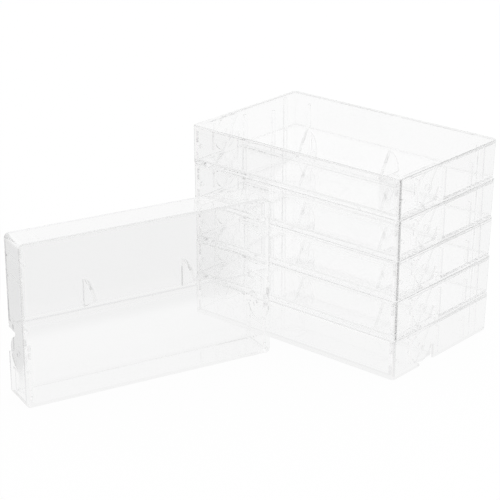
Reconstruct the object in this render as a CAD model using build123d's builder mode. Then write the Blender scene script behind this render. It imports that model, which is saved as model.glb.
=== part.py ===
"""A set of six clear, hinged storage cases: five lie in a stack and one stands beside it.

Each case is two mouldings. The cover is the large front panel with its spine, its lip and the two
inset pocket ends. The tray is the back panel with a far wall and two side walls, which run on as
the hinge arms and carry the studs that turn in the pocket ends.

In a case's own frame, X runs along its length from the middle, Y from the spine to the far edge,
and Z from the back (lip and tray panel) to the outer face of the front panel. All sizes are in mm.
"""

import os
from math import atan2, cos, degrees, hypot, radians, sin, sqrt

from build123d import *

# One closed case
case_length = 109.0
case_depth = 68.5
case_thickness = 17.0
panel_wall = 1.3
side_wall = 1.4
tray_draft = 0.5  # how far the tray's walls lean in, from the front panel to the back
far_corner_radius = 2.5
spine_corner_radius = 1.6
edge_radius = 0.35

# Clearances
lid_gap = 0.2  # between the tray's wall tops and the front panel
arm_gap = 0.2  # between a hinge arm and the pocket end inside it
stud_gap = 0.08  # round a hinge stud, in its hole
sweep_gap = 0.2  # between the lip's corner and what swings past it
swing_gap = 0.4  # between the opened arm and the end of the lip's notch

# Hinge
pivot_from_spine = 20.0
pivot_height = 8.5
stud_radius = 1.5
arm_drop = 1.4  # the arm's lower edge below the pivot, past its round end

# Pocket
lip_depth = 30.0
lip_bead_width = 2.4
lip_bead_height = 0.5
pocket_corner_radius = 1.2  # inside, between the spine and the lip
pocket_end_wall = 1.3
pocket_end_foot = 17.0  # where the slanting edge of a pocket end meets the lip
pocket_end_head = 26.5  # and where it meets the front panel
pocket_ear_radius = 3.0
stop_width = 1.0  # an upright bar on each pocket end, beside the arm's round end
stop_proud = 1.2
stop_margin = 3.0  # from the bar's ends to the case's faces
nub_radius = 0.9
nub_height = 0.9
nub_from_spine = 4.0
nub_from_back = 7.0

# Reel locks and locating ribs of the tray
lock_radius = 12.0
lock_thickness = 1.5
lock_spacing = 44.0
lock_foot_angle = 30.0  # between the lock's lower edge and the upright of the tray panel
side_ribs = ((31.9, 1.2, 13.5), (51.0, 1.0, 11.0), (59.3, 1.2, 15.0))  # place, width and top
far_rib_from_end = 10.0
far_rib_width = 1.0
far_rib_proud = 1.2
far_rib_top = 12.0

# The set: the stack's step, the small shifts of its cases, and the standing case
stack_gap = 0.25
stack_shifts = ((0.0, 0.0), (0.1, 0.2), (-0.1, 0.6), (0.1, 0.5), (0.2, 0.1))
stand_angle = 69.9  # the standing case's length, turned from the stack's length
stand_reach = 37.3  # its nearest corner, along the stack from the stack's left end
stand_gap = 5.3  # and in front of the stack's spines

# Worked out from the sizes above
half_length = case_length / 2
panel_inner_face = case_thickness - panel_wall
tray_height = panel_inner_face - lid_gap
arm_inner_face = half_length - side_wall
pocket_outer_face = arm_inner_face - arm_gap
pocket_inner_face = pocket_outer_face - pocket_end_wall
lip_half_length = pocket_inner_face - arm_gap
stud_length = arm_gap + pocket_end_wall
arm_end_radius = min(pivot_height - panel_wall, panel_inner_face - pivot_height) - sweep_gap
stop_from_spine = pivot_from_spine - arm_end_radius - sweep_gap - stop_width / 2
notch_start = pivot_from_spine - arm_drop - swing_gap
sweep_radius = hypot(lip_depth - pivot_from_spine, pivot_height) + sweep_gap
tray_start = pivot_from_spine + sqrt(sweep_radius**2 - (pivot_height - panel_wall) ** 2)
wall_start = pivot_from_spine + pivot_height + sweep_gap

os.makedirs("parts", exist_ok=True)


def trim_to_outline(draft):
    """Keeps what lies inside the case's rounded outline, drawn in at the back by its draft."""
    with BuildSketch(Plane.XY.offset(case_thickness)) as outline:
        with Locations((0, case_depth / 2)):
            Rectangle(case_length, case_depth)
        fillet(outline.vertices().group_by(Axis.Y)[0], spine_corner_radius)
        fillet(outline.vertices().group_by(Axis.Y)[-1], far_corner_radius)
    lean = degrees(atan2(draft, case_thickness))
    extrude(outline.sketch, amount=-case_thickness, taper=lean, mode=Mode.INTERSECT)


def build_cover():
    """The front panel, spine and lip, with the two pocket ends that the tray is hinged to."""
    with BuildPart() as cover:
        with BuildSketch(Plane.XY.offset(panel_inner_face)):
            with Locations((0, case_depth / 2)):
                Rectangle(case_length, case_depth)
        extrude(amount=panel_wall)

        with BuildSketch():
            with Locations((0, panel_wall / 2)):
                Rectangle(case_length, panel_wall)
        extrude(amount=case_thickness)

        # The lip is full width beside the spine, and narrower where the arms swing through it.
        with BuildSketch():
            with Locations((0, notch_start / 2)):
                Rectangle(case_length, notch_start)
            with Locations((0, lip_depth / 2)):
                Rectangle(2 * lip_half_length, lip_depth)
        extrude(amount=panel_wall)

        with BuildSketch(Plane.XY.offset(panel_wall)):
            with Locations((0, lip_depth - lip_bead_width / 2)):
                Rectangle(2 * lip_half_length, lip_bead_width)
        extrude(amount=lip_bead_height)

        for side in (-1, 1):
            with BuildSketch(Plane.YZ.offset(side * pocket_inner_face)):
                with BuildLine():
                    Polyline(
                        (panel_wall / 2, panel_wall / 2),
                        (pocket_end_foot, panel_wall / 2),
                        (pocket_end_foot, panel_wall),
                        (pocket_end_head, panel_inner_face),
                        (pocket_end_head, case_thickness - panel_wall / 2),
                        (panel_wall / 2, case_thickness - panel_wall / 2),
                        close=True,
                    )
                make_face()
                with Locations((pivot_from_spine, pivot_height)):
                    Circle(pocket_ear_radius)
                    Circle(stud_radius + stud_gap, mode=Mode.SUBTRACT)
            extrude(amount=side * pocket_end_wall)

            with BuildSketch(Plane.YZ.offset(side * pocket_outer_face)):
                with Locations((nub_from_spine, nub_from_back)):
                    Circle(nub_radius)
            extrude(amount=side * nub_height)

            with BuildSketch(Plane.YZ.offset(side * pocket_outer_face)):
                with Locations((stop_from_spine, case_thickness / 2)):
                    Rectangle(stop_width, case_thickness - 2 * stop_margin)
            extrude(amount=side * stop_proud)

        corners = cover.edges().filter_by(Axis.X).sort_by_distance((0, panel_wall, panel_wall))
        fillet(corners[0], pocket_corner_radius)

        trim_to_outline(0)
        front_face = cover.faces().filter_by(Axis.Z).sort_by(Axis.Z)[-1]
        fillet(front_face.outer_wire().edges(), edge_radius)
        back_spine_edge = cover.edges().filter_by(Axis.X).group_by(Axis.Z)[0].sort_by(Axis.Y)[0]
        fillet(back_spine_edge, edge_radius)
    return cover.part


def build_tray():
    """The back panel and its three walls, with the hinge arms, studs, reel locks and ribs."""
    with BuildPart() as tray:
        with BuildSketch():
            with Locations((0, (tray_start + case_depth) / 2)):
                Rectangle(case_length, case_depth - tray_start)
        extrude(amount=panel_wall)

        with BuildSketch():
            with Locations((0, case_depth - side_wall / 2)):
                Rectangle(case_length, side_wall)
        extrude(amount=tray_height)

        for side in (-1, 1):
            # The side wall's profile: its arm is a bar from a round end about the pivot.
            with BuildSketch(Plane.YZ.offset(side * arm_inner_face)):
                with BuildLine():
                    Polyline(
                        (pivot_from_spine, pivot_height - arm_drop),
                        (wall_start, pivot_height - arm_drop),
                        (wall_start, 0),
                        (case_depth, 0),
                        (case_depth, tray_height),
                        (pivot_from_spine, tray_height),
                        close=True,
                    )
                make_face()
                with Locations((pivot_from_spine, pivot_height)):
                    Circle(arm_end_radius)
            extrude(amount=side * side_wall)

            with BuildSketch(Plane.YZ.offset(side * arm_inner_face)):
                with Locations((pivot_from_spine, pivot_height)):
                    Circle(stud_radius)
            extrude(amount=-side * stud_length)

            # Ribs on the side wall line up with the inner face of the pocket end.
            for rib_place, rib_width, rib_top in side_ribs:
                with BuildSketch(Plane.XY.offset(panel_wall)):
                    with Locations((side * (arm_inner_face + pocket_inner_face) / 2, rib_place)):
                        Rectangle(arm_inner_face - pocket_inner_face, rib_width)
                extrude(amount=rib_top - panel_wall)

            with BuildSketch(Plane.XY.offset(panel_wall)):
                rib_x = side * (half_length - far_rib_from_end)
                with Locations((rib_x, case_depth - side_wall - far_rib_proud / 2)):
                    Rectangle(far_rib_width, far_rib_proud)
            extrude(amount=far_rib_top - panel_wall)

            # A reel lock is a slice of a disc, whose lower edge the lip's corner swings past.
            lock_face = side * lock_spacing / 2 - lock_thickness / 2
            with BuildSketch(Plane.YZ.offset(lock_face)):
                with BuildLine():
                    rim = CenterArc((tray_start, panel_wall), lock_radius, 0, 90 - lock_foot_angle)
                    Polyline(rim @ 1, (tray_start, panel_wall), rim @ 0)
                make_face()
            extrude(amount=lock_thickness)

        trim_to_outline(tray_draft)
        back_far_edge = tray.edges().filter_by(Axis.X).group_by(Axis.Z)[0].sort_by(Axis.Y)[-1]
        fillet(back_far_edge, edge_radius)
    return tray.part


def set_down(moulding, label, place):
    """Puts a copy of a moulding in its place in the set and writes its file."""
    with BuildPart() as piece:
        with Locations(place):
            add(moulding)
    piece.part.label = label
    export_step(piece.part, f"parts/{label}.step")


# Places before the set is centred: the stack's left end and spines are at X 0 and Y 0.
places = []
for level, (shift_x, shift_y) in enumerate(stack_shifts):
    height = level * (case_thickness + stack_gap)
    places.append(Location((half_length + shift_x, shift_y, height)))

stand_length_dir = Vector(cos(radians(stand_angle)), sin(radians(stand_angle)), 0)
stand_front_dir = Vector(sin(radians(stand_angle)), -cos(radians(stand_angle)), 0)
stand_origin = Vector(stand_reach, -stand_gap, 0) - stand_length_dir * half_length
stand_plane = Plane(origin=stand_origin, x_dir=stand_length_dir, z_dir=stand_front_dir)
places.append(stand_plane.location)

cover_moulding = build_cover()
tray_moulding = build_tray()

# The set's own frame has its origin in the middle of the whole set's footprint.
footprint = Compound([cover_moulding.moved(place) for place in places]).bounding_box()
centring = Location((-footprint.center().X, -footprint.center().Y, -footprint.min.Z))

for number, place in enumerate(places, start=1):
    set_down(cover_moulding, f"case_{number}_cover", centring * place)
    set_down(tray_moulding, f"case_{number}_tray", centring * place)
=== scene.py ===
"""Looks for a set of six clear hinged storage cases: five in a stack and one standing beside it.

The pieces themselves come from the CAD frame. This file gives the two clear mouldings their plastic
and puts the set on a plain white floor, under soft light, in front of a camera. Sizes are in metres.
"""

import math

import bpy
import numpy as np
from bpy.props import FloatProperty, FloatVectorProperty, PointerProperty
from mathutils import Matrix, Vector


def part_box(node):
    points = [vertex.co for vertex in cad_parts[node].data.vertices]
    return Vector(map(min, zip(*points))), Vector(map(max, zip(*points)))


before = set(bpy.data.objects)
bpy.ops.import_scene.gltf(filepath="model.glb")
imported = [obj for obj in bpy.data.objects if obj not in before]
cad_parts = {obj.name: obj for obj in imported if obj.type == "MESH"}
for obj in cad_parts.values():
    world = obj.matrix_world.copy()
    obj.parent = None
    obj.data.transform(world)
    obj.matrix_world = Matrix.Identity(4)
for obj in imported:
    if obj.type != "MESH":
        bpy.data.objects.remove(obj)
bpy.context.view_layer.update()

bl_info = {
    "name": "Clear Hinged Case Set",
    "version": (1, 0, 0),
    "blender": (4, 5, 0),
    "location": "3D View > Sidebar > Cases",
    "description": "Clear moulded looks, floor, light and camera for a set of hinged storage cases",
    "category": "Object",
}

STACK_CORNER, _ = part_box("case_1_cover")  # the stack's left, near, lowest corner
COVERS = sorted(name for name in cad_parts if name.endswith("_cover"))
TRAYS = sorted(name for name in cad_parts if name.endswith("_tray"))

WHITE = (1.0, 1.0, 1.0, 1.0)
UP = Vector((0.0, 0.0, 1.0))
NEARER = Vector((0.0, -1.0, 0.0))  # from the spines towards the viewer's side
LEFT = Vector((-1.0, 0.0, 0.0))

# The plastic's handled patches: how many to a metre, where the noise starts and ends to count as
# handled, and what a handled patch keeps of the tint.
PATCHES_PER_METRE = 45.0
PATCH_START, PATCH_END = 0.45, 0.7
PATCH_TINT = 0.998

# The floor's paper: its grain to a metre, and its darkest and lightest tone.
GRAIN_PER_METRE = 400.0
PAPER_DARK = (0.90, 0.90, 0.90, 1.0)
PAPER_LIGHT = (0.94, 0.94, 0.94, 1.0)

# Where the surroundings turn grey, as the cosine of the angle to straight up and to the viewer.
ABOVE_START, ABOVE_END = 0.5, 0.95
FRONT_START, FRONT_END = -0.2, 0.7

# Each lamp's name, place, width and height, and the point that they all face.
LAMPS = (
    ("lamp_back", (-0.5, 0.9, 0.8), 0.8, 0.5),
    ("lamp_right", (1.0, 0.2, 0.7), 0.6, 0.6),
)
LAMP_TARGET = (0.0, 0.0, 0.04)

SENSOR_WIDTH = 36.0  # in millimetres
MOST_BOUNCES = 512  # light runs far along the inside of a wall before it leaves


# ---------------------------------------------------------------------------------------------
# Shader maths as Python expressions
# ---------------------------------------------------------------------------------------------


class Value:
    """An output socket that can be added, multiplied and so on: each operation adds a Math node."""

    def __init__(self, board, socket):
        self.board = board
        self.socket = socket

    def math(self, operation, first, second=0.0):
        return self.board.add("ShaderNodeMath", {"operation": operation}, {0: first, 1: second})

    def __add__(self, other):
        return self.math("ADD", self, other)

    def __sub__(self, other):
        return self.math("SUBTRACT", self, other)

    def __rsub__(self, other):
        return self.math("SUBTRACT", other, self)

    def __mul__(self, other):
        return self.math("MULTIPLY", self, other)

    __radd__ = __add__
    __rmul__ = __mul__

    def larger(self, other):
        return self.math("MAXIMUM", self, other)


class Board:
    """The node tree of a material or of the world, emptied and ready for new nodes."""

    def __init__(self, owner):
        owner.use_nodes = True
        self.tree = owner.node_tree
        self.tree.nodes.clear()

    def add(self, kind, settings=None, inputs=None, output=0):
        """Adds a node, makes its settings, fills or links its inputs and returns one output."""
        node = self.tree.nodes.new(kind)
        for name, setting in (settings or {}).items():
            setattr(node, name, setting)
        for name, given in (inputs or {}).items():
            if isinstance(given, Value):
                self.tree.links.new(given.socket, node.inputs[name])
            else:
                node.inputs[name].default_value = given
        if node.outputs:
            return Value(self, node.outputs[output])
        return None

    def smooth_step(self, source, start, end, low, high):
        """Low before start and high after end, with a smooth turn between them."""
        return self.add(
            "ShaderNodeMapRange",
            {"interpolation_type": "SMOOTHSTEP"},
            {"Value": source, "From Min": start, "From Max": end, "To Min": low, "To Max": high},
        )

    def along(self, place, direction):
        """How far a place lies in a direction: their dot product."""
        return self.add(
            "ShaderNodeVectorMath",
            {"operation": "DOT_PRODUCT"},
            {0: place, 1: direction},
            output="Value",
        )

    def noise(self, place, scale, detail, roughness=0.5):
        """Soft noise of a scale to the metre."""
        return self.add(
            "ShaderNodeTexNoise",
            {"noise_dimensions": "3D"},
            {"Vector": place, "Scale": scale, "Detail": detail, "Roughness": roughness},
        )


# ---------------------------------------------------------------------------------------------
# Sizes and colours that a user would change
# ---------------------------------------------------------------------------------------------


class CaseSetPlastic(bpy.types.PropertyGroup):
    """The clear polystyrene of both mouldings."""

    cover_tint: FloatVectorProperty(
        name="Cover tint",
        description="Colour that one surface of a cover lets through",
        subtype="COLOR",
        size=3,
        default=(0.999, 0.999, 0.999),
    )
    tray_tint: FloatVectorProperty(
        name="Tray tint",
        description="Colour that one surface of a tray lets through",
        subtype="COLOR",
        size=3,
        default=(0.998, 0.998, 0.998),
    )
    depth_colour: FloatVectorProperty(
        name="Colour in the depth",
        description="What is left of white light that has run far inside the plastic",
        subtype="COLOR",
        size=3,
        default=(0.0, 0.0, 0.0),
    )
    depth_strength: FloatProperty(
        name="Absorption",
        description="How fast light fades inside the plastic, per metre",
        default=0.45,
    )
    refraction: FloatProperty(
        name="Refraction",
        description="Index of refraction of the plastic",
        default=1.59,
    )
    roughness: FloatProperty(
        name="Roughness",
        description="Roughness of the polished surface where it is most handled",
        default=0.02,
    )
    flow_size: FloatProperty(
        name="Flow mark size",
        description="Width of the soft waves that the melt leaves in a panel",
        unit="LENGTH",
        default=0.022,
    )
    flow_depth: FloatProperty(
        name="Flow mark depth",
        description="Height of those waves",
        unit="LENGTH",
        default=0.00002,
    )
    scuff_size: FloatProperty(
        name="Scuff size",
        description="Width of the fine shelf wear",
        unit="LENGTH",
        default=0.0011,
    )
    scuff_depth: FloatProperty(
        name="Scuff depth",
        description="Depth of the fine shelf wear",
        unit="LENGTH",
        default=0.000001,
    )


class CaseSetStage(bpy.types.PropertyGroup):
    """The floor, the light and what the plastic mirrors, with the painted shade on the floor's glow.
    """

    floor_side: FloatProperty(
        name="Floor side",
        description="Side of the square floor",
        unit="LENGTH",
        default=6.0,
    )
    shadow_share: FloatProperty(
        name="Shadow share",
        description="How much of the shaded floor shows under the white",
        default=0.02,
    )
    # Painted shade: the floor's glow is dimmed where the plastic mirrors it or shows it through,
    # greyest on the left of the set and in front of the standing case. The tones below set how dark
    # that painted shade is.
    floor_through: FloatProperty(
        name="Floor tone through the plastic",
        description="How bright the floor looks through a clear wall",
        default=0.95,
    )
    floor_near: FloatProperty(
        name="Floor tone near the set",
        description="How bright the floor looks mirrored in the plastic, where it isn't faded",
        default=0.86,
    )
    floor_far: FloatProperty(
        name="Floor tone in front",
        description="Share of the mirrored brightness that is left in front of the standing case",
        default=0.05,
    )
    floor_far_through: FloatProperty(
        name="Floor tone in front, through the plastic",
        description="The same share where the floor is seen through a clear wall",
        default=0.85,
    )
    floor_left: FloatProperty(
        name="Floor tone on the left",
        description="Share of the mirrored brightness that is left on the left of the set",
        default=0.30,
    )
    # The fade settings below place the floor's painted shade: a line in front of the standing case,
    # and the left of the set.
    fade_azimuth: FloatProperty(
        name="Fade azimuth",
        description="Direction that the standing case faces, in which the floor in front fades",
        unit="ROTATION",
        default=math.radians(-20.1),
    )
    fade_start: FloatProperty(
        name="Fade start",
        description="Distance from the stack's corner, that way, at which the floor starts to fade",
        unit="LENGTH",
        default=0.110,
    )
    fade_end: FloatProperty(
        name="Fade end",
        description="Distance from the stack's corner, that way, at which the fade ends",
        unit="LENGTH",
        default=0.124,
    )
    fade_side: FloatProperty(
        name="Fade side",
        description="Width of the soft edge of the faded floor, from the line of the spines",
        unit="LENGTH",
        default=0.02,
    )
    left_start: FloatProperty(
        name="Left fade start",
        description="Distance to the left of the stack's corner at which the floor starts to fade",
        unit="LENGTH",
        default=0.0,
    )
    left_end: FloatProperty(
        name="Left fade end",
        description="Distance to the left of the stack's corner at which that fade ends",
        unit="LENGTH",
        default=0.03,
    )
    zenith_tone: FloatProperty(
        name="Zenith tone",
        description="Brightness of the surroundings straight above",
        default=0.80,
    )
    front_tone: FloatProperty(
        name="Front tone",
        description="Brightness of the surroundings on the viewer's side",
        default=0.60,
    )
    lamp_power: FloatProperty(
        name="Lamp power",
        description="Power of each soft lamp",
        unit="POWER",
        default=5.0,
    )


class CaseSetCamera(bpy.types.PropertyGroup):
    """The viewpoint, measured from the stack's left, near, lowest corner."""

    place: FloatVectorProperty(
        name="Place",
        description="Camera's place from the stack's corner",
        subtype="TRANSLATION",
        unit="LENGTH",
        size=3,
        default=(0.473083, -0.509156, 0.303608),
    )
    azimuth: FloatProperty(
        name="Azimuth",
        description="Turn of the view about the upright, from straight in front of the spines",
        subtype="ANGLE",
        default=math.radians(40.864),
    )
    elevation: FloatProperty(
        name="Elevation",
        description="How far the camera looks down",
        subtype="ANGLE",
        default=math.radians(21.588),
    )
    focal_length: FloatProperty(
        name="Focal length",
        description="Focal length in millimetres",
        default=123.132,
    )


# ---------------------------------------------------------------------------------------------
# Materials
# ---------------------------------------------------------------------------------------------


def clear_plastic(name, tint):
    """Clear moulded polystyrene: soft flow waves, fine shelf scuffs and faint handling marks."""
    look = bpy.context.scene.case_plastic
    material = bpy.data.materials.new(name)
    board = Board(material)
    place = board.add("ShaderNodeTexCoord", output="Object")

    flow = board.noise(place, 1.0 / look.flow_size, detail=1.0, roughness=0.4)
    scuff = board.noise(place, 1.0 / look.scuff_size, detail=2.0, roughness=0.6)
    handled = board.noise(place, PATCHES_PER_METRE, detail=3.0, roughness=0.55)
    worn = board.smooth_step(handled, PATCH_START, PATCH_END, 0.0, 1.0)
    height = flow * look.flow_depth + scuff * worn * look.scuff_depth
    bump = board.add(
        "ShaderNodeBump",
        inputs={"Height": height, "Strength": 1.0, "Distance": 1.0},
    )
    dust = board.add(
        "ShaderNodeMix",
        {"data_type": "RGBA"},
        {
            "Factor": worn,
            "A": (*tint, 1.0),
            "B": (*(PATCH_TINT * part for part in tint), 1.0),
        },
        output="Result",
    )
    plastic = board.add(
        "ShaderNodeBsdfPrincipled",
        inputs={
            "Base Color": dust,
            "Roughness": worn * look.roughness,
            "IOR": look.refraction,
            "Transmission Weight": 1.0,
            "Normal": bump,
        },
    )
    depth = board.add(
        "ShaderNodeVolumeAbsorption",
        inputs={"Color": (*look.depth_colour, 1.0), "Density": look.depth_strength},
    )
    board.add("ShaderNodeOutputMaterial", inputs={"Surface": plastic, "Volume": depth})
    return material


def white_floor():
    """A white floor with a trace of shadow.

    Through the plastic, or mirrored in it, the floor's glow is a little greyer than where it is seen
    directly. That grey is painted shade: it is greyest on the left and from a line in front of the
    standing case, and that is what makes clear walls show on white.
    """
    look = bpy.context.scene.case_stage
    material = bpy.data.materials.new("white_floor")
    board = Board(material)
    place = board.add("ShaderNodeTexCoord", output="Object")
    facing = Vector((math.cos(look.fade_azimuth), math.sin(look.fade_azimuth), 0.0))
    ahead, nearer, leftward = (
        board.along(place, way) - way.dot(STACK_CORNER) for way in (facing, NEARER, LEFT)
    )
    # Painted shade on the floor's glow, from a line in front of the standing case and on the left of
    # the set.
    past_line = board.smooth_step(ahead, look.fade_start, look.fade_end, 0.0, 1.0)
    past_spines = board.smooth_step(nearer, 0.0, look.fade_side, 0.0, 1.0)
    painted_shade_front = past_line * past_spines
    painted_shade_left = board.smooth_step(
        leftward, look.left_start, look.left_end, 1.0, look.floor_left
    )
    # The floor's glow as the plastic mirrors it and as it shows through, each dimmed by the painted
    # shade.
    mirrored = look.floor_near * painted_shade_left * (1.0 - painted_shade_front * (1.0 - look.floor_far))
    passed = look.floor_through * (1.0 - painted_shade_front * (1.0 - look.floor_far_through))
    ray = board.add("ShaderNodeLightPath", output="Is Camera Ray")
    through = board.add("ShaderNodeLightPath", output="Is Transmission Ray")
    tone = ray + (1.0 - ray) * (through * passed + (1.0 - through) * mirrored)
    glow = board.add("ShaderNodeEmission", inputs={"Color": WHITE, "Strength": tone})
    grain = board.noise(place, GRAIN_PER_METRE, detail=3.0)
    paper = board.add(
        "ShaderNodeMix",
        {"data_type": "RGBA"},
        {"Factor": grain, "A": PAPER_DARK, "B": PAPER_LIGHT},
        output="Result",
    )
    matt = board.add("ShaderNodeBsdfDiffuse", inputs={"Color": paper})
    glossy = board.add("ShaderNodeLightPath", output="Is Glossy Ray")
    shown = ray.larger(through).larger(glossy)
    surface = board.add(
        "ShaderNodeMixShader",
        inputs={0: shown * (1.0 - look.shadow_share), 1: matt, 2: glow},
    )
    board.add("ShaderNodeOutputMaterial", inputs={"Surface": surface})
    return material


def surroundings():
    """White where the camera looks, and elsewhere white low down behind the set and greyer
    above it and on the viewer's side, which is what draws the mouldings' edges."""
    look = bpy.context.scene.case_stage
    view = bpy.context.scene.case_camera
    world = bpy.data.worlds.new("soft_white_room")
    bpy.context.scene.world = world
    board = Board(world)
    direction = board.add("ShaderNodeTexCoord", output="Generated")
    forward = (math.sin(view.azimuth), -math.cos(view.azimuth), 0.0)
    rise = board.along(direction, UP)
    toward = board.along(direction, forward)
    above = board.smooth_step(rise, ABOVE_START, ABOVE_END, 1.0, look.zenith_tone)
    front = board.smooth_step(toward, FRONT_START, FRONT_END, 1.0, look.front_tone)
    seen = board.add("ShaderNodeLightPath", output="Is Camera Ray")
    tone = board.add(
        "ShaderNodeMix",
        {"data_type": "FLOAT"},
        {"Factor": seen, "A": above * front, "B": 1.0},
        output="Result",
    )
    sky = board.add("ShaderNodeBackground", inputs={"Color": WHITE, "Strength": tone})
    board.add("ShaderNodeOutputWorld", inputs={"Surface": sky})


def give_looks(nodes, material):
    """Puts the material into every slot of the CAD nodes."""
    for name in nodes:
        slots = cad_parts[name].material_slots
        if not slots:
            raise RuntimeError(f"{name} has no material slot")
        for slot in slots:
            slot.material = material


# ---------------------------------------------------------------------------------------------
# Stage
# ---------------------------------------------------------------------------------------------


def flat_floor(side, count=9):
    """A square grid in the ground plane: x and y run evenly from -side/2 to side/2, and z is 0."""
    steps = np.linspace(-0.5 * side, 0.5 * side, count)
    x, y = np.meshgrid(steps, steps, indexing="ij")
    points = np.stack((x, y, np.zeros_like(x)), axis=-1).reshape(-1, 3)
    index = np.arange(count * count).reshape(count, count)
    corners = (index[:-1, :-1], index[1:, :-1], index[1:, 1:], index[:-1, 1:])
    faces = np.stack(corners, axis=-1).reshape(-1, 4)
    mesh = bpy.data.meshes.new("floor")
    mesh.from_pydata(points.tolist(), [], faces.tolist())
    floor = bpy.data.objects.new("floor", mesh)
    bpy.context.scene.collection.objects.link(floor)
    return floor


def soft_lamp(name, place, width, height, power):
    """A rectangular area lamp that faces the set and that the plastic doesn't mirror."""
    data = bpy.data.lights.new(name, "AREA")
    data.shape = "RECTANGLE"
    data.size = width
    data.size_y = height
    data.energy = power
    lamp = bpy.data.objects.new(name, data)
    lamp.visible_glossy = False
    lamp.visible_transmission = False
    lamp.location = place
    aim = Vector(LAMP_TARGET) - Vector(place)
    lamp.rotation_euler = aim.to_track_quat("-Z", "Y").to_euler()
    bpy.context.scene.collection.objects.link(lamp)


def set_camera():
    """A level camera at the view's place, turned and tipped by the view's angles."""
    view = bpy.context.scene.case_camera
    data = bpy.data.cameras.new("camera")
    data.sensor_width = SENSOR_WIDTH
    data.lens = view.focal_length
    camera = bpy.data.objects.new("camera", data)
    camera.location = STACK_CORNER + Vector(view.place)
    camera.rotation_euler = (0.5 * math.pi - view.elevation, 0.0, view.azimuth)
    bpy.context.scene.collection.objects.link(camera)
    bpy.context.scene.camera = camera


# ---------------------------------------------------------------------------------------------
# Operators, panel and registration
# ---------------------------------------------------------------------------------------------


class CASESET_OT_covers(bpy.types.Operator):
    """Give the covers their clear plastic"""

    bl_idname = "caseset.covers"
    bl_label = "Covers"

    def execute(self, context):
        give_looks(COVERS, clear_plastic("clear_cover", context.scene.case_plastic.cover_tint))
        return {"FINISHED"}


class CASESET_OT_trays(bpy.types.Operator):
    """Give the trays their clear plastic"""

    bl_idname = "caseset.trays"
    bl_label = "Trays"

    def execute(self, context):
        give_looks(TRAYS, clear_plastic("clear_tray", context.scene.case_plastic.tray_tint))
        return {"FINISHED"}


class CASESET_OT_stage(bpy.types.Operator):
    """Set up the floor, the light and the camera"""

    bl_idname = "caseset.stage"
    bl_label = "Stage"

    def execute(self, context):
        look = context.scene.case_stage
        floor = flat_floor(look.floor_side)
        floor.data.materials.append(white_floor())
        surroundings()
        for lamp in LAMPS:
            soft_lamp(*lamp, look.lamp_power)
        set_camera()
        cycles = context.scene.cycles
        cycles.max_bounces = MOST_BOUNCES
        cycles.transmission_bounces = MOST_BOUNCES
        cycles.glossy_bounces = MOST_BOUNCES
        cycles.caustics_reflective = False
        cycles.caustics_refractive = False
        context.scene.view_settings.view_transform = "Standard"
        return {"FINISHED"}


class CASESET_PT_panel(bpy.types.Panel):
    """Lists the steps and settings in the sidebar"""

    bl_label = "Clear Case Set"
    bl_idname = "CASESET_PT_panel"
    bl_space_type = "VIEW_3D"
    bl_region_type = "UI"
    bl_category = "Cases"

    def draw(self, context):
        for operator in OPERATORS:
            self.layout.operator(operator.bl_idname)
        scene = context.scene
        for group in (scene.case_plastic, scene.case_stage, scene.case_camera):
            box = self.layout.box()
            for name in group.bl_rna.properties.keys():
                if name not in ("rna_type", "name"):
                    box.prop(group, name)


OPERATORS = (CASESET_OT_covers, CASESET_OT_trays, CASESET_OT_stage)
CLASSES = (CaseSetPlastic, CaseSetStage, CaseSetCamera, *OPERATORS, CASESET_PT_panel)


def register():
    for item in CLASSES:
        bpy.utils.register_class(item)
    bpy.types.Scene.case_plastic = PointerProperty(type=CaseSetPlastic)
    bpy.types.Scene.case_stage = PointerProperty(type=CaseSetStage)
    bpy.types.Scene.case_camera = PointerProperty(type=CaseSetCamera)


def unregister():
    del bpy.types.Scene.case_camera
    del bpy.types.Scene.case_stage
    del bpy.types.Scene.case_plastic
    for item in reversed(CLASSES):
        bpy.utils.unregister_class(item)


def main():
    register()
    bpy.ops.caseset.covers()
    bpy.ops.caseset.trays()
    bpy.ops.caseset.stage()


if __name__ == "__main__":
    main()
